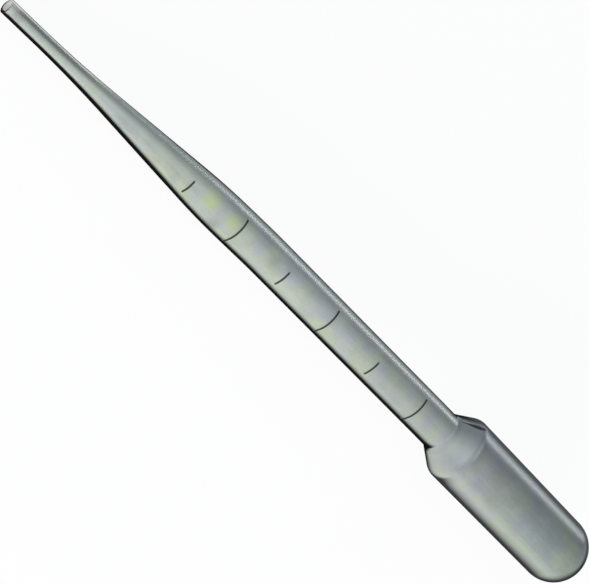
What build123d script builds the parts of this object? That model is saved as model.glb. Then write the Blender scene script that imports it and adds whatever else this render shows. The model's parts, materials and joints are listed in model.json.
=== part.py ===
from build123d import *
import math
import os

# A dropper pipette, blow moulded in one piece: an open tip tube, a taper, a graduated
# stem, a cone-shaped shoulder and a closed squeeze bulb. It lies on a bench (z = 0) with
# its tip towards -X. Sizes are in millimetres, and a station is a distance along the
# pipette's own axis from the cut end of the tip.

# Tip tube, and the taper that opens it out to the stem
tip_diameter = 3.0
tip_wall = 0.40
tip_tube_length = 7.25
throat_blend = 19.6            # axial length of the curve from the tube to the cone
cone_length = 22.3
collar_blend = 11.8            # axial length of the curve from the cone to the stem

# Stem
stem_diameter = 8.0
stem_wall = 0.52

# Graduation ridges
mark_volume = 500.0            # cubic millimetres between two marks
mark_count = 6
mark_height = 0.12
mark_width = 0.36
long_mark_arc = 97.0           # degrees round the stem
short_mark_arc = 50.0
mark_direction = 125.0         # middle of the marks, in degrees from +Y towards +Z
last_mark_to_shoulder = 8.95

# Shoulder and bulb
shoulder_length = 5.1
shoulder_root_radius = 0.8
shoulder_crown_radius = 2.6
bulb_diameter = 13.6
bulb_side_length = 30.95
dome_diameter = 13.24          # the bulb narrows this much before its round end
bulb_wall = 0.45

# The set that the moulding took as it cooled, and how it lies on the bench
bend_radius = 120.0
collar_to_tip_bend = 6.7
last_mark_to_bulb_bend = 4.5
tip_bend = 1.4                 # degrees
bulb_bend = 0.5
rest_roll = 10.0               # degrees that the plane of the bends dips towards the bench

tip_radius = tip_diameter / 2
tip_bore_radius = tip_radius - tip_wall
stem_radius = stem_diameter / 2
stem_bore_radius = stem_radius - stem_wall
bulb_radius = bulb_diameter / 2
dome_radius = dome_diameter / 2

# Corners of the taper, where the straight lines on both sides of each blend would meet
taper_start = tip_tube_length + throat_blend / 2
taper_end = taper_start + throat_blend / 2 + cone_length + collar_blend / 2
taper_length = taper_end - taper_start


def station_holding(volume):
    # The station up to which the tip and stem hold this volume
    tube_volume = math.pi * tip_bore_radius**2 * taper_start
    slope = (stem_bore_radius - tip_bore_radius) / taper_length
    taper_volume = math.pi * (stem_bore_radius**3 - tip_bore_radius**3) / (3 * slope)
    if volume < tube_volume + taper_volume:
        radius = math.cbrt(tip_bore_radius**3 + 3 * slope * (volume - tube_volume) / math.pi)
        return taper_start + (radius - tip_bore_radius) / slope
    rest = volume - tube_volume - taper_volume
    return taper_end + rest / (math.pi * stem_bore_radius**2)


# Stations along the axis
mark_spacing = mark_volume / (math.pi * stem_bore_radius**2)
first_mark = station_holding(mark_volume)
last_mark = first_mark + (mark_count - 1) * mark_spacing
shoulder_start = last_mark + last_mark_to_shoulder
shoulder_end = shoulder_start + shoulder_length
dome_start = shoulder_end + bulb_side_length
tip_bend_start = taper_end + collar_blend / 2 + collar_to_tip_bend
tip_bend_end = tip_bend_start + bend_radius * math.radians(tip_bend)
bulb_bend_start = last_mark + last_mark_to_bulb_bend
bulb_bend_end = bulb_bend_start + bend_radius * math.radians(bulb_bend)

# Angles of the straight stretches to the axis
shoulder_angle = math.atan2(bulb_radius - stem_radius, shoulder_length)
bulb_side_angle = math.atan2(bulb_radius - dome_radius, bulb_side_length)


def blend_radius(blend, rise):
    # Radius of an arc of this axial length that turns from the axis to the taper's slope
    return blend / 2 / math.tan(math.atan2(rise, taper_length) / 2)


def tip_outline(end_radius, stem_side_radius):
    # From the cut tip to the tip's bend, as a radius over the axis
    rise = stem_side_radius - end_radius
    return FilletPolyline(
        (0, end_radius),
        (taper_start, end_radius),
        (taper_end, stem_side_radius),
        (tip_bend_start, stem_side_radius),
        radius=[blend_radius(throat_blend, rise), blend_radius(collar_blend, rise)],
    )


def bulb_outline(neck, side, end, inset, root, crown):
    # From the bulb's bend to the pole of the dome; inset moves the shoulder's corners along
    start = (bulb_bend_end, neck)
    shoulder = [(shoulder_start + inset, neck), (shoulder_end + inset, side)]
    line = FilletPolyline(start, *shoulder, (dome_start, end), radius=[root, crown])
    dome = CenterArc((dome_start, 0), end, 0, 90)
    return line + dome


def hollow_of_revolution(outer, inner):
    # The wall between two outlines that start at one station and end at another
    starts = Line(outer @ 0, inner @ 0)
    ends = Line(outer @ 1, inner @ 1)
    return revolve(make_face([*outer.edges(), ends, *inner.edges(), starts]), Axis.X)


def mark_ridge(station, arc):
    # A ridge of round section, sunk in the wall so that only its crest stands out, on a
    # straight pipette
    ridge_radius = (mark_width**2 / 4 + mark_height**2) / (2 * mark_height)
    share = min(max((station - taper_start) / taper_length, 0), 1)
    surface_radius = tip_radius + share * (stem_radius - tip_radius)
    centre_radius = surface_radius + mark_height - ridge_radius
    section = Pos(station, centre_radius, 0) * Circle(ridge_radius)
    ridge = revolve(section, Axis.X, revolution_arc=arc)
    return Rot(mark_direction - arc / 2, 0, 0) * ridge


def tip_part():
    return hollow_of_revolution(
        tip_outline(tip_radius, stem_radius),
        tip_outline(tip_bore_radius, stem_bore_radius),
    )


def stem_part():
    ring = Circle(stem_radius) - Circle(stem_bore_radius)
    return extrude(Plane.YZ.offset(tip_bend_end) * ring, bulb_bend_start - tip_bend_end)


def bulb_part():
    wall = (stem_wall + bulb_wall) / 2
    inset = wall * math.tan(shoulder_angle / 2)
    outer = bulb_outline(
        stem_radius, bulb_radius, dome_radius, 0, shoulder_root_radius, shoulder_crown_radius
    )
    inner = bulb_outline(
        stem_bore_radius,
        bulb_radius - bulb_wall,
        dome_radius - bulb_wall,
        inset,
        shoulder_root_radius + wall,
        shoulder_crown_radius - wall,
    )
    return hollow_of_revolution(outer, inner)


def elbow(station, turn):
    # A short curved length of stem that turns the part beyond it towards -Y
    ring = Circle(stem_radius) - Circle(stem_bore_radius)
    hinge = Axis((station, -bend_radius, 0), (0, 0, math.copysign(1, turn)))
    return revolve(Plane.YZ.offset(station) * ring, hinge, revolution_arc=abs(turn))


def bent_place(station):
    # Where the bends carry what a straight pipette has at this station
    if station < tip_bend_end:
        pivot = tip_bend_end
        turn = min(math.degrees((pivot - station) / bend_radius), tip_bend)
    else:
        pivot = bulb_bend_start
        turn = -min(max(math.degrees((station - pivot) / bend_radius), 0), bulb_bend)
    slide = bend_radius * math.radians(turn)
    return Pos(pivot, -bend_radius, 0) * Rot(0, 0, turn) * Pos(slide - pivot, bend_radius, 0)


def lying_tilt():
    # Slope of the line that touches the end of the taper and the crown of the shoulder
    collar_radius = blend_radius(collar_blend, stem_radius - tip_radius)
    collar_station = taper_end + collar_blend / 2
    tangent = shoulder_crown_radius * math.tan((shoulder_angle + bulb_side_angle) / 2)
    crown_station = shoulder_end + tangent
    along = crown_station - collar_station
    up = (bulb_radius - shoulder_crown_radius) - (stem_radius - collar_radius)
    gain = math.asin((collar_radius - shoulder_crown_radius) / math.hypot(along, up))
    return math.degrees(math.atan2(up, along) - gain)


pipette = stem_part()
pipette += elbow(tip_bend_end, tip_bend)
pipette += elbow(bulb_bend_start, -bulb_bend)
pipette += bent_place(0) * tip_part()
pipette += bent_place(dome_start) * bulb_part()
for number in range(mark_count):
    station = first_mark + number * mark_spacing
    arc = long_mark_arc if number % 2 else short_mark_arc
    pipette += bent_place(station) * mark_ridge(station, arc)

lying = Rot(0, -lying_tilt(), 0) * Rot(rest_roll, 0, 0)
box = (lying * pipette).bounding_box()
on_bench = Pos(-box.center().X, -box.center().Y, -box.min.Z) * lying
pipette = on_bench * pipette

os.makedirs("parts", exist_ok=True)
export_step(pipette, "parts/pipette.step")

print("length", round(dome_start + dome_radius, 2), "tilt", round(lying_tilt(), 2))
print("marks from", round(first_mark, 2), "every", round(mark_spacing, 2))
print("tip end", on_bench * bent_place(0))
print("stem middle", on_bench * Pos((tip_bend_end + bulb_bend_start) / 2, 0, 0))
print("solids", len(pipette.solids()), "volume", round(pipette.volume, 1))
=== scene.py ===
import json
import math

import bpy
import numpy as np
from mathutils import Matrix, Vector


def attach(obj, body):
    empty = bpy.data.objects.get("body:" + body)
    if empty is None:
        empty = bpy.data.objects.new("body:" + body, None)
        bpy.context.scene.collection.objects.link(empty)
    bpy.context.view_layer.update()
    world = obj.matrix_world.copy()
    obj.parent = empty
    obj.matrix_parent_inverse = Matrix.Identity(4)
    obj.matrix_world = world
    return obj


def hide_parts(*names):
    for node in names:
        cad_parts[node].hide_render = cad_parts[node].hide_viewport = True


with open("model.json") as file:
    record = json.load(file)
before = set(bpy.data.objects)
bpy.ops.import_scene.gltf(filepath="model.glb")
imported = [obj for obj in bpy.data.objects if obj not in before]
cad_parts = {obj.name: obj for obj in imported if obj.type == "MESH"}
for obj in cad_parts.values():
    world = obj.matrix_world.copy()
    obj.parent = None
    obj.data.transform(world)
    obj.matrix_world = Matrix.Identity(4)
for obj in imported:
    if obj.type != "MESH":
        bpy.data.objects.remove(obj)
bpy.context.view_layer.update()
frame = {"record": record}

mounts = {mount["name"]: mount for mount in frame["record"]["mounts"]}
mm = 0.001  # lengths are in metres


class Socket:
    # a node's output; Python's operators on it add Math nodes
    def __init__(self, tree, output):
        self.tree = tree
        self.output = output

    def maths(self, operation, first, second):
        node = self.tree.nodes.new("ShaderNodeMath")
        node.operation = operation
        plug(self.tree, node.inputs[0], first)
        plug(self.tree, node.inputs[1], second)
        return Socket(self.tree, node.outputs[0])

    def __add__(self, other):
        return self.maths("ADD", self, other)

    def __radd__(self, other):
        return self.maths("ADD", other, self)

    def __sub__(self, other):
        return self.maths("SUBTRACT", self, other)

    def __rsub__(self, other):
        return self.maths("SUBTRACT", other, self)

    def __mul__(self, other):
        return self.maths("MULTIPLY", self, other)

    def __abs__(self):
        return self.maths("ABSOLUTE", self, 0)


def plug(tree, entry, value):
    # a link from a socket, or a plain value
    if isinstance(value, Socket):
        tree.links.new(value.output, entry)
    else:
        entry.default_value = value


def partWay(share, first, second):
    # from one plain value to another, by a socket's share
    return first + share * (second - first)


class Shader:
    # one material's or the world's node tree; directions round the pipette are in degrees from
    # +Y towards +Z
    def __init__(self, owner):
        owner.use_nodes = True
        self.tree = owner.node_tree
        self.tree.nodes.clear()

    def node(self, kind, settings=None, inputs=None, output=0):
        node = self.tree.nodes.new(kind)
        for name, value in (settings or {}).items():
            setattr(node, name, value)
        for name, value in (inputs or {}).items():
            plug(self.tree, node.inputs[name], value)
        return Socket(self.tree, node.outputs[output])

    def attribute(self, name, output="Fac"):
        return self.node("ShaderNodeAttribute", {"attribute_name": name}, output=output)

    def vectorMath(self, operation, first, second=(0, 0, 0), output="Vector"):
        inputs = {0: first, 1: second}
        return self.node("ShaderNodeVectorMath", {"operation": operation}, inputs, output)

    def noise(self, place, size, detail=2.0, roughness=0.5):
        inputs = {"Vector": place, "Scale": 1 / size, "Detail": detail, "Roughness": roughness}
        return self.node("ShaderNodeTexNoise", inputs=inputs, output="Fac")

    def between(self, value, low, high, outLow=0.0, outHigh=1.0):
        # a smooth step from low to high
        return self.node(
            "ShaderNodeMapRange",
            {"interpolation_type": "SMOOTHSTEP"},
            {"Value": value, "From Min": low, "From Max": high, "To Min": outLow, "To Max": outHigh},
        )

    def stretch(self, value, start, full, fullEnd, end):
        # fades in from start to full and out again from fullEnd to end
        return self.between(value, start, full) * self.between(value, end, fullEnd)

    def reach(self, place, degrees):
        # how far a place lies out in a direction
        out = (0, math.cos(math.radians(degrees)), math.sin(math.radians(degrees)))
        return self.vectorMath("DOT_PRODUCT", place, out, "Value")

    def turned(self, place, degrees, low, high):
        # fades in as the wall turns to face a direction, between two cosines
        outward = self.vectorMath("NORMALIZE", self.vectorMath("MULTIPLY", place, (0, 1, 1)))
        return self.between(self.reach(outward, degrees), low, high)

    def nearness(self, place, centre, radius):
        # 1 at a centre, fading to 0 at a radius
        return self.between(self.vectorMath("DISTANCE", place, centre, "Value"), radius, 0)

    def blend(self, share, first, second, mode="MIX"):
        settings = {"data_type": "RGBA", "blend_type": mode}
        return self.node("ShaderNodeMix", settings, {0: share, 6: first, 7: second}, output=2)

    def tinted(self, colour, tint, share=1.0):
        return self.blend(share, colour, tint, "MULTIPLY")

    def mixed(self, share, first, second):
        return self.node("ShaderNodeMixShader", inputs={0: share, 1: first, 2: second})

    def clear(self):
        return self.node("ShaderNodeBsdfTransparent")

    def finish(self, surface, kind="ShaderNodeOutputMaterial"):
        plug(self.tree, self.tree.nodes.new(kind).inputs["Surface"], surface)


def grey(level):
    return (level, level, level, 1.0)


pipetteForm = {
    "throatBlend": 19.6 * mm,  # axial length of the curve from the tip tube to the cone
    "coneLength": 22.3 * mm,
    "collarBlend": 11.8 * mm,  # and of the one from the cone to the stem
    "stemWall": 0.52 * mm,
    "shoulderLength": 5.1 * mm,
    "shoulderRootRadius": 0.8 * mm,
    "shoulderCrownRadius": 2.6 * mm,
    "bulbDiameter": 13.6 * mm,
    "bulbSideLength": 30.95 * mm,
    "domeDiameter": 13.24 * mm,
    "bulbWall": 0.45 * mm,
    "bendRadius": 120 * mm,
    "bulbBend": math.radians(0.5),
    "lastMarkToBulbBend": 4.5 * mm,
    "lastMarkToShoulder": 8.95 * mm,
    "rimRounding": 0.06 * mm,
    "segments": 128,  # round the pipette
    "ringSpacing": 0.9 * mm,
    "arcStep": math.radians(1.5),
    "domeRings": 39,
}

markForm = {
    "volume": 500 * mm**3,  # between two lines
    "count": 6,
    "height": 0.12 * mm,
    "width": 0.36 * mm,
    "longArc": math.radians(97),
    "shortArc": math.radians(50),
    "direction": math.radians(125),
    "endFade": math.radians(3.5),
    "lineShare": 0.72,  # how far the painted shade line reaches on each side, over the ridge's width
    "lineSharpness": 1.4,
    "rings": 17,  # across each ridge, out to a share of its width
    "ringReach": 0.9,
    "ringClearance": 1.05,
}


def vectorOf(mount, key):
    return np.array(mounts[mount][key], float)


def radiusOf(mount):
    return mounts[mount]["dims"]["r_mm"] * mm


def lengthOf(mount):
    return mounts[mount]["dims"]["length_mm"] * mm


def unit(vector):
    return vector / np.linalg.norm(vector)


class Centreline:
    # the pipette's own axis, with its two slight bends; a station is a distance along it from
    # the cut end of the tip
    def __init__(self, form):
        stemAxis = unit(vectorOf("stem", "axis"))
        tipAxis = unit(vectorOf("tip", "axis"))
        self.toBulb = -stemAxis
        self.bendSide = unit(tipAxis - tipAxis.dot(stemAxis) * stemAxis)
        self.middle = vectorOf("stem", "pos_m")
        self.radius = form["bendRadius"]
        self.tipBend = math.acos(tipAxis.dot(stemAxis))
        self.bulbBend = form["bulbBend"]
        # the tip's end is known, and so is the length from there to the first bend
        turned = unit(self.toBulb * math.cos(self.tipBend) - self.bendSide * math.sin(self.tipBend))
        elbowStart = self.middle - self.toBulb * lengthOf("stem") / 2
        elbowEnd = elbowStart + self.elbowShift(self.tipBend, -1)
        tipEnd = vectorOf("tip", "pos_m") + tipAxis * lengthOf("tip") / 2
        self.tipBendStart = (elbowEnd - tipEnd).dot(turned)
        self.tipBendEnd = self.tipBendStart + self.radius * self.tipBend
        self.bulbBendStart = self.tipBendEnd + lengthOf("stem")
        self.middleStation = (self.tipBendEnd + self.bulbBendStart) / 2

    def elbowShift(self, turn, side):
        along = side * math.sin(turn) * self.toBulb
        return self.radius * (along + (1 - math.cos(turn)) * self.bendSide)

    def place(self, station):
        # the point at a station, the axis there and the direction of the bends there
        if station < self.tipBendEnd:
            side, past, bend = -1, self.tipBendEnd - station, self.tipBend
        else:
            side, past, bend = 1, max(station - self.bulbBendStart, 0), self.bulbBend
        turn = min(past / self.radius, bend)
        axis = self.toBulb * math.cos(turn) + side * self.bendSide * math.sin(turn)
        bendSide = self.bendSide * math.cos(turn) - side * self.toBulb * math.sin(turn)
        if past > 0:
            elbow = self.tipBendEnd if side < 0 else self.bulbBendStart
            start = self.middle + (elbow - self.middleStation) * self.toBulb
            point = start + self.elbowShift(turn, side) + side * axis * (past - self.radius * turn)
        else:
            point = self.middle + (station - self.middleStation) * self.toBulb
        return point, axis, bendSide


def filletedLine(corners, radii, step, arcStep):
    # a polyline through rounded corners, as closely spaced (station, radius) points
    points = [np.array(corners[0], float)]
    for before, corner, after, radius in zip(corners, corners[1:], corners[2:], radii):
        corner = np.array(corner, float)
        back = unit(np.array(before) - corner)
        onward = unit(np.array(after) - corner)
        turn = math.pi - math.acos(back.dot(onward))
        centre = corner + unit(back + onward) * radius / math.cos(turn / 2)
        first = corner + back * radius * math.tan(turn / 2) - centre
        last = corner + onward * radius * math.tan(turn / 2) - centre
        count = max(3, math.ceil(turn / arcStep), math.ceil(radius * turn / step))
        for share in np.linspace(0, 1, count + 1):
            spoke = math.sin((1 - share) * turn) * first + math.sin(share * turn) * last
            points.append(centre + spoke / math.sin(turn))
    points.append(np.array(corners[-1], float))
    line = [points[0]]
    for start, end in zip(points, points[1:]):
        count = max(1, math.ceil(np.linalg.norm(end - start) / step))
        line += [start + (end - start) * share for share in np.linspace(0, 1, count + 1)[1:]]
    return line


class PipetteShape:
    # stations and wall outlines, worked out from the mounts and the form
    def __init__(self, form, marks):
        self.form = form
        self.marks = marks
        self.line = Centreline(form)
        self.tipRadius = radiusOf("tip")
        self.tipBore = radiusOf("tip_bore")
        self.stemRadius = radiusOf("stem")
        self.stemBore = self.stemRadius - form["stemWall"]
        self.bulbRadius = form["bulbDiameter"] / 2
        self.domeRadius = form["domeDiameter"] / 2
        self.taperStart = lengthOf("tip") + form["throatBlend"] / 2
        self.taperEnd = self.taperStart + form["throatBlend"] / 2 + form["coneLength"]
        self.taperEnd += form["collarBlend"] / 2
        lastMark = self.line.bulbBendStart - form["lastMarkToBulbBend"]
        spacing = marks["volume"] / (math.pi * self.stemBore**2)
        self.markStations = [lastMark - number * spacing for number in reversed(range(marks["count"]))]
        self.shoulderStart = lastMark + form["lastMarkToShoulder"]
        self.shoulderEnd = self.shoulderStart + form["shoulderLength"]
        self.domeStart = self.shoulderEnd + form["bulbSideLength"]
        self.length = self.domeStart + self.domeRadius

    def blendRadius(self, blend, rise):
        slope = math.atan2(rise, self.taperEnd - self.taperStart)
        return blend / 2 / math.tan(slope / 2)

    def outline(self, inner=False):
        # the wall from the tip to the pole of the dome, as (station, radius) points
        form = self.form
        wall = form["bulbWall"] if inner else 0
        tip = self.tipBore if inner else self.tipRadius
        stem = self.stemBore if inner else self.stemRadius
        inset = 0
        root, crown = form["shoulderRootRadius"], form["shoulderCrownRadius"]
        if inner:
            mean = (form["stemWall"] + form["bulbWall"]) / 2
            rise = math.atan2(self.bulbRadius - self.stemRadius, form["shoulderLength"])
            inset = mean * math.tan(rise / 2)
            root, crown = root + mean, crown - mean
        corners = [
            (0, tip),
            (self.taperStart, tip),
            (self.taperEnd, stem),
            (self.shoulderStart + inset, stem),
            (self.shoulderEnd + inset, self.bulbRadius - wall),
            (self.domeStart, self.domeRadius - wall),
        ]
        throat = self.blendRadius(form["throatBlend"], stem - tip)
        collar = self.blendRadius(form["collarBlend"], stem - tip)
        radii = [throat, collar, root, crown]
        line = filletedLine(corners, radii, form["ringSpacing"], form["arcStep"])
        dome = self.domeRadius - wall
        for turn in np.linspace(0, math.pi / 2, form["domeRings"] + 1)[1:]:
            line.append(np.array((self.domeStart + dome * math.sin(turn), dome * math.cos(turn))))
        return line

    def bodyRadius(self, station, inner=False):
        # the wall's radius up to the dome; past its start the radius there
        body = [point for point in self.outline(inner) if point[0] < self.domeStart]
        return np.interp(station, *zip(*body))

    def markedOutline(self):
        # the outer wall with extra rings across each graduation ridge
        reach = self.marks["width"] * self.marks["ringReach"]
        clear = reach * self.marks["ringClearance"]
        points = [
            (station, radius) for station, radius in self.outline()
            if min(abs(station - mark) for mark in self.markStations) > clear
        ]
        for mark in self.markStations:
            stations = mark + np.linspace(-reach, reach, self.marks["rings"])
            points += zip(stations, self.bodyRadius(stations))
        return sorted(points)

    def wallPoint(self, station, angle):
        # a point of the outer wall on a straight pipette
        radius = self.bodyRadius(station)
        if station > self.domeStart:
            radius = math.sqrt(self.domeRadius**2 - (station - self.domeStart) ** 2)
        return (station, radius * math.cos(angle), radius * math.sin(angle))

    def markAt(self, station, angle):
        # height of the ridges there, and how much painted shade line they carry
        marks = self.marks
        ridge = (marks["width"] ** 2 / 4 + marks["height"] ** 2) / (2 * marks["height"])
        height = np.zeros_like(angle)
        drawn = np.zeros_like(angle)
        for number, mark in enumerate(self.markStations):
            away = abs(station - mark)
            if away > marks["width"]:
                continue
            arc = marks["longArc"] if number % 2 else marks["shortArc"]
            turned = np.abs((angle - marks["direction"] + math.pi) % (2 * math.pi) - math.pi)
            inside = np.clip((arc / 2 - turned) / marks["endFade"] + 0.5, 0, 1)
            crest = math.sqrt(max(ridge**2 - away**2, 0)) - (ridge - marks["height"])
            height += inside * max(crest, 0)
            aside = away / marks["width"] / marks["lineShare"]
            drawn += inside * np.clip(marks["lineSharpness"] * (1 - aside**2), 0, 1)
        return height, drawn


def wallRings(shape, angles):
    # each ring's station, radii, side (1 inside, 0.5 on the cut rim, 0 outside) and painted shade line:
    # down the inside to the tip, round its rim and back along the outside
    rounding = shape.form["rimRounding"]
    plain = np.zeros_like(angles)
    rings = []
    for station, radius in reversed(shape.outline(inner=True)[:-1]):
        if station > rounding:
            rings.append((station, plain + radius, 1.0, plain))
    rings.append((rounding, plain + shape.tipBore, 1.0, plain))
    for turn in np.radians((30, 60, 90)):
        radius = shape.tipBore + rounding * (1 - math.cos(turn))
        rings.append((rounding * (1 - math.sin(turn)), plain + radius, 0.5, plain))
    for turn in np.radians((0, 30, 60, 90)):
        radius = shape.tipRadius - rounding * (1 - math.sin(turn))
        rings.append((rounding * (1 - math.cos(turn)), plain + radius, 0.0, plain))
    for station, radius in shape.markedOutline()[:-1]:
        if station > rounding:
            height, drawn = shape.markAt(station, angles)
            rings.append((station, radius + height, 0.0, drawn))
    return rings


rimForm = {
    "shadedSide": math.radians(205),  # painted shade: the side where the rim is darker and wider, facing away from the edge light, from +Y towards +Z
    "sideContrast": 1.2,
    # how steeply a line of sight that just misses the bore meets the wall (0 square, 1 edge on),
    # then where the wall is half dark and how softly, on the side away from the edge light and on the
    # side towards it, where the rim is painted paler
    "rims": [
        (0.3, 0.285, 0.07, 0.7, 0.06),
        (0.35, 0.28, 0.08, 0.72, 0.08),
        (0.4, 0.315, 0.1, 0.8, 0.1),
        (0.465, 0.4, 0.12, 0.72, 0.11),
        (0.51, 0.515, 0.13, 0.66, 0.12),
        (0.65, 0.535, 0.2, 0.605, 0.08),
    ],
    # the dark rim is broader at the shoulder's root and crown, and narrower on its cone: the
    # change of its edge, by the distance in millimetres past each of them
    "rootRims": [(-1.5, 0), (-0.2, -0.1), (0.8, 0.14)],
    "crownRims": [(-0.8, 0.14), (0.5, -0.08), (3, 0)],
    "litTurn": 1.6,  # how far that change turns the other way on the side towards the edge light
    "clearBores": (0.77, 0.81),  # bore over wall radius, as the clear line in the rim fades out
    "poleEdge": 0.5,  # and the same at the two poles of the dome
    "poleSoft": 0.2,
}


def rimValues(shape, stations, angles):
    # where the wall is half dark, how softly, and how clear its rim is, at every ring and angle
    bore = shape.bodyRadius(stations, inner=True) / shape.bodyRadius(stations)
    missing = 1 - np.sqrt(1 - bore**2)
    # painted light and shade: thin is the share of the side towards the edge light, where the rim is
    # painted paler and has a clear line
    thin = np.clip(0.5 - rimForm["sideContrast"] * np.cos(angles - rimForm["shadedSide"]), 0, 1)
    thin = thin**2 * (3 - 2 * thin)
    depths, *limits = zip(*rimForm["rims"])
    edge, soft, litEdge, litSoft = [np.interp(missing, depths, limit)[:, None] for limit in limits]
    changes = [(shape.shoulderStart + away * mm, change) for away, change in rimForm["rootRims"]]
    changes += [(shape.shoulderEnd + away * mm, change) for away, change in rimForm["crownRims"]]
    atShoulder = np.interp(stations, *zip(*changes))[:, None] * (1 - rimForm["litTurn"] * thin)
    clear = np.interp(bore, rimForm["clearBores"], (1, 0))[:, None] * thin
    return edge + (litEdge - edge) * thin + atShoulder, soft + (litSoft - soft) * thin, clear


def lathePipette(shape):
    segments = shape.form["segments"]
    angles = np.arange(segments) * 2 * math.pi / segments
    rings = wallRings(shape, angles)
    stations = np.array([ring[0] for ring in rings])
    vertices, straight = [], []
    for station, radii, *_ in rings:
        point, axis, bendSide = shape.line.place(station)
        # angle 0 looks away from the bends' side, and 90 degrees is up from it
        up = -np.cross(axis, bendSide)
        out = -np.outer(np.cos(angles), bendSide) + np.outer(np.sin(angles), up)
        vertices.append(point + radii[:, None] * out)
        flat = (np.full(segments, station), radii * np.cos(angles), radii * np.sin(angles))
        straight.append(np.stack(flat, axis=1))
    poles = [shape.length - shape.form["bulbWall"], shape.length]
    vertices = np.concatenate([*vertices, [shape.line.place(pole)[0] for pole in poles]])
    straight = np.concatenate([*straight, [(pole, 0, 0) for pole in poles]])
    mesh = bpy.data.meshes.new("pipetteSkin")
    mesh.from_pydata(vertices.tolist(), [], latheFaces(len(rings), segments))
    mesh.update()
    mesh.shade_smooth()
    edges, softs, clears = rimValues(shape, stations, angles)
    sides = np.repeat([ring[2] for ring in rings], segments)
    drawn = [ring[3] for ring in rings]
    addAttribute(mesh, "straight", straight, "FLOAT_VECTOR")
    addAttribute(mesh, "side", np.append(sides, (1.0, 0.0)))
    addAttribute(mesh, "mark", np.append(drawn, (0.0, 0.0)))
    addAttribute(mesh, "rimEdge", np.append(edges, [rimForm["poleEdge"]] * 2))
    addAttribute(mesh, "rimSoft", np.append(softs, [rimForm["poleSoft"]] * 2))
    addAttribute(mesh, "clearEdge", np.append(clears, (0.0, 0.0)))
    piece = bpy.data.objects.new("pipetteSkin", mesh)
    bpy.context.scene.collection.objects.link(piece)
    return piece


def latheFaces(ringCount, segments):
    # between the rings, and two caps that meet at the last two points, the poles
    around = [(this, (this + 1) % segments) for this in range(segments)]
    last = (ringCount - 1) * segments
    faces = []
    for low in range(0, last, segments):
        high = low + segments
        faces += [(low + this, low + that, high + that, high + this) for this, that in around]
    innerPole = last + segments
    faces += [(this, that, innerPole) for this, that in around]
    faces += [(last + that, last + this, innerPole + 1) for this, that in around]
    return faces


def addAttribute(mesh, name, values, kind="FLOAT"):
    attribute = mesh.attributes.new(name, kind, "POINT")
    key = "vector" if kind == "FLOAT_VECTOR" else "value"
    attribute.data.foreach_set(key, np.asarray(values, np.float32).ravel())


clouding = {
    "cloudSize": 3.6 * mm,
    "tintSize": 3.6 * mm / 0.7,
    "streakWidth": 0.45 * mm,
    "streakStretch": 0.05,
    "speckleSize": 0.35 * mm,
    "fineShare": 0.5,  # of streaks and speckles, beside the clouds
    "softness": 0.3,
    "paleShade": 1.0,
    "dullShade": 0.8,
    "tintSoftness": 0.09,
    "warmTint": (1.0, 1.0, 0.89, 1.0),
    "coolTint": (0.95, 0.935, 1.0, 1.0),
    "coolSide": (60, 0.0, 0.8),  # painted shade, a cooler tint on the side turned from the key: a direction, and the cosines between which it fades in
    "coolSideTint": (1.0, 1.0, 1.12, 1.0),
    "coolLossOnBulb": 0.6,
    "nearShoulder": 132 * mm,
    "nearTint": (1.03, 0.995, 1.1, 1.0),
    "farFromShoulder": 152 * mm,
    "farTint": (0.955, 1.0, 0.99, 1.0),
}

spots = {
    # station, direction, radius and cover
    "stains": [(52.4 * mm, 103, 3.0 * mm, 1.0), (58.4 * mm, 107, 2.5 * mm, 0.8)],
    "stainColour": (0.45, 0.53, 0.23, 1.0),
    "darkSpots": [
        (56.3 * mm, 158, 2.4 * mm, 0.4),
        (69.9 * mm, 112, 2.6 * mm, 0.3),
        (158.9 * mm, 68, 1.8 * mm, 0.7),
    ],
    "darkSpotColour": (0.1, 0.11, 0.14, 1.0),
}

# patches of painted light and shade, and of plain tone: the stretch that each lies on, its direction
# with the cosines between which it fades in (none where it goes all round), its cover and its colour
patches = [
    ("bulb", (168, 0.8, 1.0), 0.22, (0.44, 0.47, 0.4, 1.0)),  # painted light: paler on the side towards the key
    # painted shade: darker down the bulb's side facing 98 degrees
    ("bulb", (98, 0.92, 1.0), 0.07, (0.08, 0.09, 0.09, 1.0)),
    ("taper", None, 0.04, (0.27, 0.295, 0.265, 1.0)),
    # painted light: paler on the taper's upper side
    ("taper", (78, 0.74, 0.98), 0.5, (0.62, 0.66, 0.6, 1.0)),
    ("tube", None, 0.12, (0.1, 0.11, 0.1, 1.0)),
    ("tube", (75, 0.94, 0.995), 0.5, (0.1, 0.11, 0.1, 1.0)),  # painted shade: a dark line where the bore's edge shows through the wall
    # painted light: a paler band along the tube
    ("tube", (120, 0.84, 0.99), 0.25, (0.75, 0.8, 0.74, 1.0)),
    # painted shade: the dome darker on its side facing 80 degrees
    ("dome", (80, -0.1, 0.7), 0.45, (0.09, 0.105, 0.1, 1.0)),
    # painted highlights: pale arcs round the shoulder's root and crown
    ("rootRing", (65, 0.5, 0.85), 0.22, (0.6, 0.64, 0.6, 1.0)),
    ("crownRing", (65, 0.65, 0.9), 0.18, (0.6, 0.64, 0.6, 1.0)),
    # painted light: the cone paler and bluer on its upper side
    ("cone", (65, 0.2, 0.9), 0.3, (0.62, 0.68, 0.7, 1.0)),
    # painted shade: a dark arc just past the crown
    ("crownShadeArc", (65, 0.5, 0.9), 0.3, (0.1, 0.115, 0.11, 1.0)),
]


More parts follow.
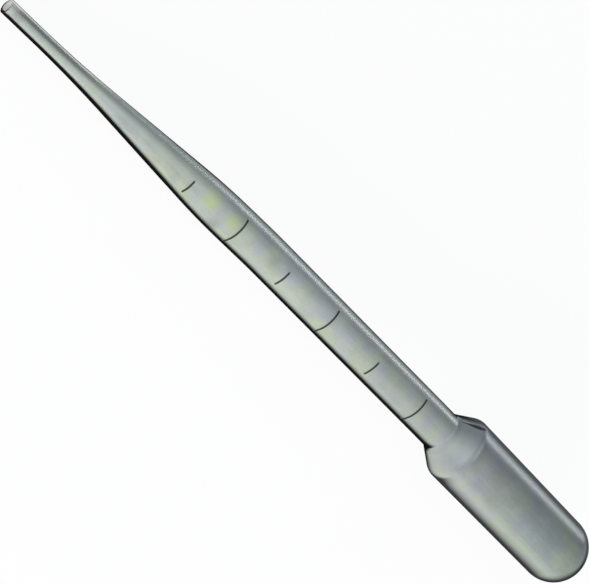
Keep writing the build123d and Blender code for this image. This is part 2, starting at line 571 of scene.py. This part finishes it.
def patchStretches():
    # the stations where each stretch starts, is full, starts to fade and ends
    root, crown, dome = shape.shoulderStart, shape.shoulderEnd, shape.domeStart
    return {
        "tube": (-2 * mm, -mm, 12 * mm, 32 * mm),
        "taper": (12 * mm, 24 * mm, 48 * mm, 62 * mm),
        "rootRing": (root - 0.7 * mm, root - 0.2 * mm, root, root + 0.4 * mm),
        "cone": (root, root + mm, crown - mm, crown),
        "crownRing": (crown - 0.3 * mm, crown, crown + 0.1 * mm, crown + 0.4 * mm),
        "crownShadeArc": (crown + 0.3 * mm, crown + 0.7 * mm, crown + 0.8 * mm, crown + 1.8 * mm),
        "dome": (dome + mm, dome + 6 * mm, shape.length + mm, shape.length + 2 * mm),
    }


def cloudedColour(shader, place, station, bulbShare):
    # the milky colour, uneven as the plastic cooled
    clouds = shader.noise(place, clouding["cloudSize"], 4, 0.6)
    lengthwise = shader.vectorMath("MULTIPLY", place, (clouding["streakStretch"], 1, 1))
    streaks = shader.noise(lengthwise, clouding["streakWidth"])
    speckle = shader.noise(place, clouding["speckleSize"], 1)
    dullness = clouds - 0.5 + (streaks + speckle - 1) * clouding["fineShare"]
    dullness = shader.between(dullness, -clouding["softness"], clouding["softness"])
    shade = shader.blend(dullness, grey(clouding["paleShade"]), grey(clouding["dullShade"]))
    tints = shader.noise(shader.vectorMath("MULTIPLY", place, (1, 1, -1)), clouding["tintSize"])
    tints = shader.between(tints - 0.5, -clouding["tintSoftness"], clouding["tintSoftness"])
    tint = shader.blend(tints, clouding["warmTint"], clouding["coolTint"])
    colour = shader.blend(bulbShare, plastic["stemMilk"], plastic["bulbMilk"])
    colour = shader.tinted(shader.tinted(colour, shade), tint)
    # painted shade: cooler on the side turned from the key
    coolShare = shader.turned(place, *clouding["coolSide"])
    coolShare = coolShare * (1 - bulbShare * clouding["coolLossOnBulb"])
    colour = shader.tinted(colour, clouding["coolSideTint"], coolShare)
    nearness = shader.between(station, clouding["farFromShoulder"], clouding["nearShoulder"])
    bulbTint = shader.blend(nearness, clouding["farTint"], clouding["nearTint"])
    return shader.tinted(colour, bulbTint, bulbShare)


def spotted(shader, place, colour):
    # faint stains left by use, and faint darker spots
    for kind in ("stain", "darkSpot"):
        for station, direction, radius, cover in spots[kind + "s"]:
            centre = shape.wallPoint(station, math.radians(direction))
            share = shader.nearness(place, centre, radius) * cover
            colour = shader.blend(share, colour, spots[kind + "Colour"])
    return colour


def patched(shader, place, station, bulbShare, colour):
    # painted light and shade, and plain tone, patch by patch
    stretches = patchStretches()
    for name, side, cover, tone in patches:
        share = bulbShare if name == "bulb" else shader.stretch(station, *stretches[name])
        if side:
            share = share * shader.turned(place, *side)
        colour = shader.blend(share * cover, colour, tone)
    return colour


shoulderShadeForm = {
    "direction": 46,
    "startWidth": 0.15 * mm,  # from its middle to its edge
    "width": 0.75 * mm,
    "widest": 1.3 * mm,  # before the crown
    "sharpness": 0.4,
    "cover": 0.9,
}


def shoulderShadeStreak(shader, place, station):
    # painted shade: a dark streak along the shoulder, which widens and then closes past the crown
    root, crown = shape.shoulderStart, shape.shoulderEnd
    widest = crown - shoulderShadeForm["widest"]
    widths = shoulderShadeForm["startWidth"], shoulderShadeForm["width"]
    width = shader.between(station, root + mm, widest, *widths)
    width = width * shader.between(station, crown + 0.6 * mm, widest)
    aside = abs(shader.reach(place, shoulderShadeForm["direction"] + 90))
    cover = shader.between(aside, width, width * shoulderShadeForm["sharpness"])
    cover = cover * shader.between(shader.reach(place, shoulderShadeForm["direction"]), 0, mm)
    along = shader.stretch(station, root, root + mm, crown - 0.3 * mm, crown + 0.3 * mm)
    return cover * along * shoulderShadeForm["cover"]


plastic = {
    "stemMilk": (0.43, 0.47, 0.425, 1.0),
    "bulbMilk": (0.2, 0.226, 0.21, 1.0),
    "changeStart": 50 * mm,  # before the shoulder, where the stem's colour starts to change
    "changeShare": 0.4,  # of that change, up to the shoulder
    "stemScatter": 0.6,  # share of light that the milky layer turns back; the rest goes through
    "bulbScatter": 0.9,
    "seeThrough": 0.12,
    "seeThroughTip": 0.35,  # more, where the tip is cut thin
    "clearTip": (4.5 * mm, 1.5 * mm),
    "refraction": 1.5,
    "stemRoughness": 0.27,
    "bulbRoughness": 0.3,
    "stemCoat": 0.7,  # the stem is glossier than the bulb
    "coatStart": (42 * mm, 62 * mm),
    "waveHeight": 0.03 * mm,
    "waveLength": 7 * mm,
    # the dark colour below is painted shade on the graduation ridges and the shoulder's streak, and
    # darkens the cut rim
    "lineColour": (0.022, 0.027, 0.03, 1.0),
    "lineCover": 0.96,
}

rimLook = {
    "gloss": (0.006, 0.0075, 0.0065, 1.0),
    "paleGloss": (0.115, 0.127, 0.135, 1.0),
    "roughness": 0.3,
    "litSide": (25, 0.3, 0.8),
    "litStart": (45 * mm, 60 * mm),
    "litEnd": (4 * mm, 1 * mm),  # before the shoulder
    "stemPaleness": 0.7,  # share of the pale gloss on the stem's side towards the edge light, painted light
    "bulbPaleness": 0.3,  # all round the bulb, and as much again on its side towards the edge light
    "clearBand": (0.4, 0.48, 0.6, 0.7),
    "clearness": 0.6,
    "endOn": (0.02, 0.35),
}


def polyethylene():
    material = bpy.data.materials.new("polyethylene")
    shader = Shader(material)
    place = shader.attribute("straight", "Vector")
    station = shader.node("ShaderNodeSeparateXYZ", inputs={0: place})
    onBulb = shader.between(station, shape.shoulderStart, shape.shoulderEnd)
    wall = milkyWall(shader, place, station, onBulb)
    inside = shader.attribute("side")
    nearTip = shader.between(station, *plastic["clearTip"])
    seeThrough = plastic["seeThrough"] + nearTip * plastic["seeThroughTip"] * (1 + inside)
    wall = shader.mixed(seeThrough, wall, shader.clear())
    cutRim = shader.stretch(inside, 0.1, 0.3, 0.7, 0.9)
    # the ridges' lines and the shoulder's streak are painted shade; the cut rim is darkened too
    dark = shader.attribute("mark") + cutRim + shoulderShadeStreak(shader, place, station)
    paintedDark = shader.node("ShaderNodeBsdfDiffuse", inputs={"Color": plastic["lineColour"]})
    wall = shader.mixed(dark * plastic["lineCover"], wall, paintedDark)
    facing = shader.node("ShaderNodeLayerWeight", inputs={"Blend": 0.5}, output="Facing")
    clearRim = shader.attribute("clearEdge") * shader.stretch(facing, *rimLook["clearBand"])
    wall = shader.mixed(clearRim * rimLook["clearness"], wall, shader.clear())
    rim = darkRim(shader, facing) * shader.between(inside, 0.6, 0.4)
    shader.finish(shader.mixed(rim, wall, rimSurface(shader, place, station, onBulb)))
    return material


def milkyWall(shader, place, station, onBulb):
    # a clouded layer that turns back part of the light and lets the rest through
    root, share = shape.shoulderStart, plastic["changeShare"]
    bulbShare = shader.between(station, root - plastic["changeStart"], root) * share
    bulbShare = onBulb * (1 - share) + bulbShare
    colour = cloudedColour(shader, place, station, bulbShare)
    colour = spotted(shader, place, colour)
    colour = patched(shader, place, station, bulbShare, colour)
    height = shader.noise(place, plastic["waveLength"], 0)
    waves = {"Strength": 1.0, "Distance": plastic["waveHeight"], "Height": height}
    onStem = shader.between(station, *plastic["coatStart"]) * (1 - onBulb)
    milk = shader.node(
        "ShaderNodeBsdfPrincipled",
        inputs={
            "Base Color": colour,
            "Roughness": partWay(onBulb, plastic["stemRoughness"], plastic["bulbRoughness"]),
            "IOR": plastic["refraction"],
            "Coat Weight": onStem * plastic["stemCoat"],
            "Coat Roughness": plastic["stemRoughness"],
            "Normal": shader.node("ShaderNodeBump", inputs=waves),
        },
    )
    through = shader.node("ShaderNodeBsdfTranslucent", inputs={"Color": plastic["stemMilk"]})
    scatter = partWay(onBulb, plastic["stemScatter"], plastic["bulbScatter"])
    return shader.mixed(scatter, through, milk)


def darkRim(shader, facing):
    # the wall looks dark where a line of sight misses the bore, but not where the whole pipette
    # is seen end on
    edge = shader.attribute("rimEdge")
    soft = shader.attribute("rimSoft")
    axis = shader.node("ShaderNodeCombineXYZ", inputs=dict(enumerate(shape.line.toBulb)))
    endOn = {"Blend": 0.5, "Normal": axis}
    endOn = shader.node("ShaderNodeLayerWeight", inputs=endOn, output="Facing")
    return shader.between(facing, edge - soft, edge + soft) * shader.between(endOn, *rimLook["endOn"])


def rimSurface(shader, place, station, onBulb):
    # the rim's gloss, paler on the bulb, and painted paler on the side towards the edge light
    before, end = rimLook["litEnd"]
    litStretch = (*rimLook["litStart"], shape.shoulderStart - before, shape.shoulderStart - end)
    onLitSide = shader.turned(place, *rimLook["litSide"])
    paleness = shader.stretch(station, *litStretch) * onLitSide * rimLook["stemPaleness"]
    paleness = paleness + (1 + onLitSide) * onBulb * rimLook["bulbPaleness"]
    gloss, paleGloss = [
        shader.node("ShaderNodeBsdfGlossy", inputs={"Color": colour, "Roughness": rimLook["roughness"]})
        for colour in (rimLook["gloss"], rimLook["paleGloss"])
    ]
    return shader.mixed(paleness, gloss, paleGloss)


stage = {
    "floorSize": 3.0,
    "floorColour": (0.9, 0.9, 0.9, 1.0),
    "floorGlow": 0.93,
    "fill": 0.2,
    "fillColour": (0.86, 0.96, 1.0, 1.0),
}


def backdropRays(shader):
    # 1 for what is seen straight, in a gloss or through the plastic
    kinds = ("Is Camera Ray", "Is Glossy Ray", "Is Transmission Ray")
    camera, glossy, through = [shader.node("ShaderNodeLightPath", output=kind) for kind in kinds]
    return shader.node("ShaderNodeClamp", inputs={"Value": camera + glossy + through})


def paleFloor():
    half = stage["floorSize"] / 2
    mesh = bpy.data.meshes.new("floor")
    corners = [(-half, -half, 0), (half, -half, 0), (half, half, 0), (-half, half, 0)]
    mesh.from_pydata(corners, [], [(0, 1, 2, 3)])
    floor = bpy.data.objects.new("floor", mesh)
    bpy.context.scene.collection.objects.link(floor)
    material = bpy.data.materials.new("paper")
    shader = Shader(material)
    paper = shader.node("ShaderNodeBsdfDiffuse", inputs={"Color": stage["floorColour"]})
    glow = shader.node("ShaderNodeEmission")
    shader.finish(shader.mixed(backdropRays(shader) * stage["floorGlow"], paper, glow))
    mesh.materials.append(material)


def paleWorld():
    world = bpy.data.worlds.new("studio")
    bpy.context.scene.world = world
    shader = Shader(world)
    seen = backdropRays(shader)
    tint = shader.blend(seen, stage["fillColour"], grey(1.0))
    inputs = {"Color": tint, "Strength": partWay(seen, stage["fill"], 1)}
    shader.finish(shader.node("ShaderNodeBackground", inputs=inputs), "ShaderNodeOutputWorld")


# rectangular lamps: centre, size, radiance (1 shows as white) and colour
lamps = {
    "key": ((0.02, -0.56, 0.11), (0.5, 0.2), 18.0, (1.0, 0.99, 0.95)),
    "topLight": ((0.0, 0.0, 0.8), (0.16, 1.2), 2.8, (0.86, 0.94, 1.0)),
    "edgeLight": ((0.38, 0.549, 0.222), (0.4, 0.2), 5.4, (0.88, 0.96, 1.0)),
}


def softbox(name):
    # a lamp turned square to the pipette's axis
    centre, size, radiance, colour = lamps[name]
    lamp = bpy.data.lights.new(name, "AREA")
    lamp.shape = "RECTANGLE"
    lamp.size, lamp.size_y = size
    lamp.energy = 4 * radiance * size[0] * size[1]
    lamp.color = colour
    box = bpy.data.objects.new(name, lamp)
    bpy.context.scene.collection.objects.link(box)
    away = Vector((0, centre[1], centre[2])).normalized()
    overhead = abs(away.y) < 0.5
    along = Vector((0, 1, 0)).cross(away) if overhead else away.cross(Vector((0, 0, 1)))
    along = along.normalized()
    box.location = Vector(centre)
    box.rotation_euler = Matrix((along, away.cross(along), away)).transposed().to_euler()
    box.visible_camera = False
    return box


view = {
    "azimuth": math.radians(-50.85),  # 0 looks along +Y
    "elevation": math.radians(46.77),
    "roll": math.radians(88.41),
    "distance": 0.7846,
    "aim": (-0.002756, -0.000843, 0.004392),
    "sensorWidth": 36.0,
    "lens": 268.93,
}


def addCamera():
    camera = bpy.data.cameras.new("camera")
    camera.sensor_width = view["sensorWidth"]
    camera.lens = view["lens"]
    camera.clip_start = 0.01
    viewer = bpy.data.objects.new("camera", camera)
    bpy.context.scene.collection.objects.link(viewer)
    azimuth, elevation, roll = view["azimuth"], view["elevation"], view["roll"]
    level = Vector((math.cos(azimuth), math.sin(azimuth), 0))
    back = Vector((math.sin(azimuth), -math.cos(azimuth), 0)) * math.cos(elevation)
    back.z = math.sin(elevation)
    right = level * math.cos(roll) + back.cross(level) * math.sin(roll)
    viewer.location = Vector(view["aim"]) + back * view["distance"]
    viewer.rotation_euler = Matrix((right, back.cross(right), back)).transposed().to_euler()
    bpy.context.scene.camera = viewer


shape = PipetteShape(pipetteForm, markForm)
print("form ready: length", round(shape.length / mm, 2), "mm,", len(shape.markStations), "marks")
skin = lathePipette(shape)
skin.data.materials.append(polyethylene())
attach(skin, "root")
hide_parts("pipette")
print("pipette skin:", len(skin.data.polygons), "faces")

paleFloor()
paleWorld()
softbox("key").visible_glossy = False  # it lights the clouding, without a highlight
softbox("topLight")
softbox("edgeLight")
addCamera()
bpy.context.scene.view_settings.view_transform = "Standard"
print("stage, lights and camera ready")
